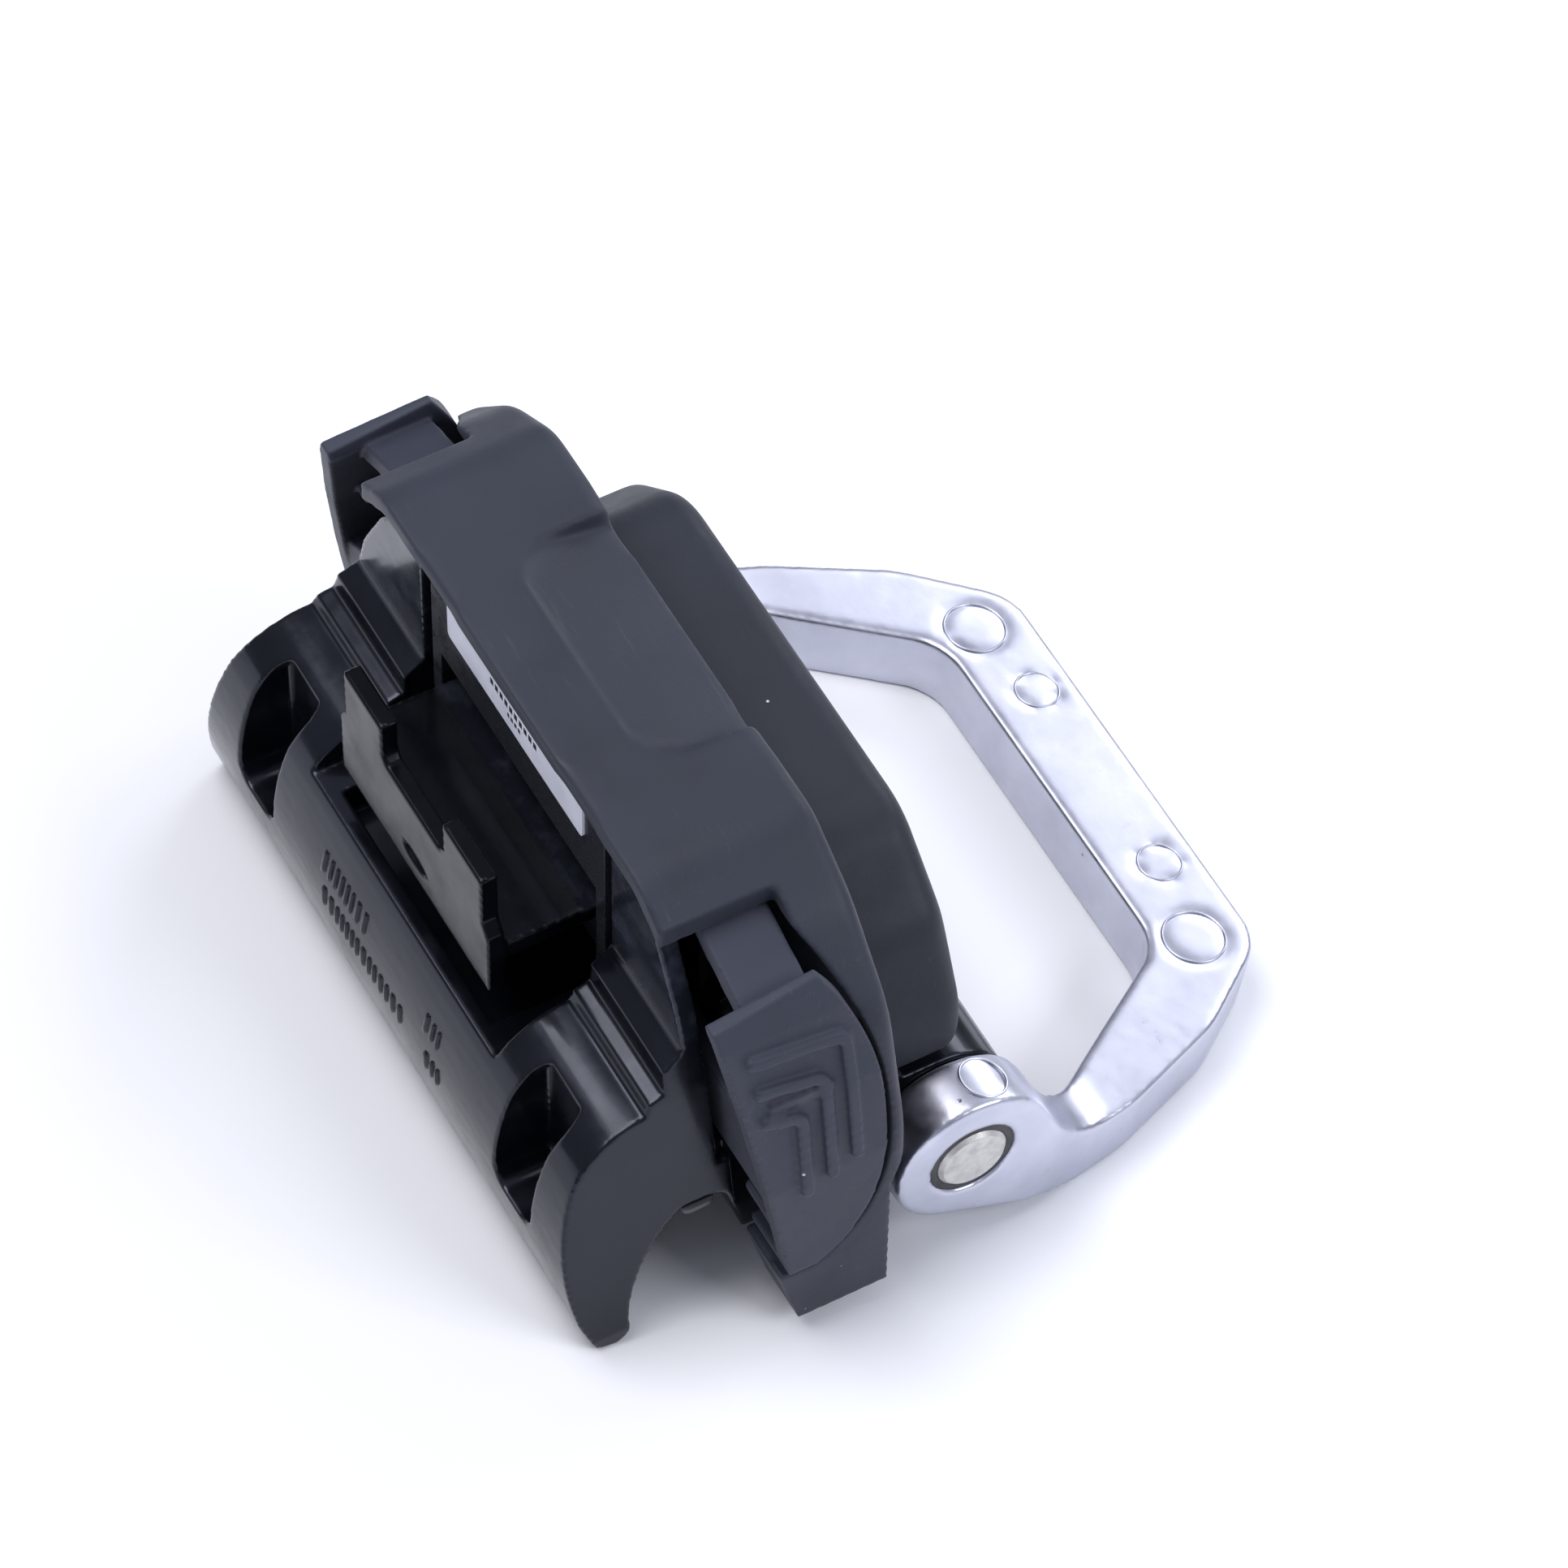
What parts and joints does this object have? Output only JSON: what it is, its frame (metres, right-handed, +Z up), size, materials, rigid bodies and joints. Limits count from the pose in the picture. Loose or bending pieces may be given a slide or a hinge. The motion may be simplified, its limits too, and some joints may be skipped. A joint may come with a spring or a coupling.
{
  "type": "sliding lashing eye",
  "caption": "Rail-mounted lashing eye: black cast rail hook with a lift-up latch, charcoal covers with two side buttons, and a folding aluminium bail.",
  "frame": {"origin": "centre of the bounding box on the surface that the part rests on, with the bail opened flat", "axes": "+X along the rail, +Y from the rail hook towards the bail, +Z up; the body leans 9.5 degrees forward on its hook"},
  "size_m": [0.087, 0.0844, 0.0527],
  "materials": {
    "black_coat": "gloss black e-coat on die-cast metal",
    "latch_black": "gloss black coating",
    "carrier_black": "black moulded plastic",
    "label_white": "white satin label film",
    "cover_charcoal": "fine-grained charcoal plastic",
    "rear_charcoal": "fine-grained charcoal plastic",
    "button_charcoal": "fine-grained charcoal plastic",
    "zinc_steel": "zinc-plated steel",
    "bail_aluminium": "satin die-cast aluminium",
    "bush_black": "acetal bush",
    "pin_steel": "ground steel pin",
    "pad_grey": "dark grey acetal pad"
  },
  "bodies": {
    "frame": {"clamp_casting": "black_coat", "latch_carrier": "carrier_black", "label": "label_white", "front_cover": "cover_charcoal", "rear_cover": "rear_charcoal", "cover_screws": "zinc_steel", "rear_cover_screws": "zinc_steel", "left_hinge_pin": "pin_steel", "right_hinge_pin": "pin_steel", "left_friction_washer": "zinc_steel", "right_friction_washer": "zinc_steel", "left_rail_pad": "pad_grey", "right_rail_pad": "pad_grey", "left_button_spring": "zinc_steel", "right_button_spring": "zinc_steel", "left_latch_spring": "zinc_steel", "right_latch_spring": "zinc_steel"},
    "bail": {"tie_down_bail": "bail_aluminium", "left_hinge_bush": "bush_black", "right_hinge_bush": "bush_black"},
    "right_key": {"right_button": "button_charcoal"},
    "left_key": {"left_button": "button_charcoal"},
    "latch": {"latch_hook": "latch_black"}
  },
  "joints": [
    {"name": "bail_hinge", "type": "hinge", "parent": "frame", "child": "bail", "pos_m": [0, -0.00012, 0.01232], "axis": [1, 0, 0], "range_deg": [0, 99]},
    {"name": "right_button_press", "type": "slide", "parent": "frame", "child": "right_key", "axis": [-1, 0, 0], "range_m": [0, 0.003], "stiffness_N_per_m": 700, "springref_m": -0.004, "deforming": ["right_button_spring"]},
    {"name": "left_button_press", "type": "slide", "parent": "frame", "child": "left_key", "axis": [1, 0, 0], "range_m": [0, 0.003], "stiffness_N_per_m": 700, "springref_m": -0.004, "deforming": ["left_button_spring"]},
    {"name": "latch_lift", "type": "slide", "parent": "frame", "child": "latch", "axis": [0, -0.165, 0.9863], "range_m": [0, 0.00255], "stiffness_N_per_m": 400, "springref_m": -0.004, "deforming": ["left_latch_spring", "right_latch_spring"]}
  ],
  "couplings": [
    {"joint": "left_button_press", "follows": "right_button_press", "ratio": 1},
    {"joint": "latch_lift", "follows": "right_button_press", "ratio": 0.85}
  ]
}
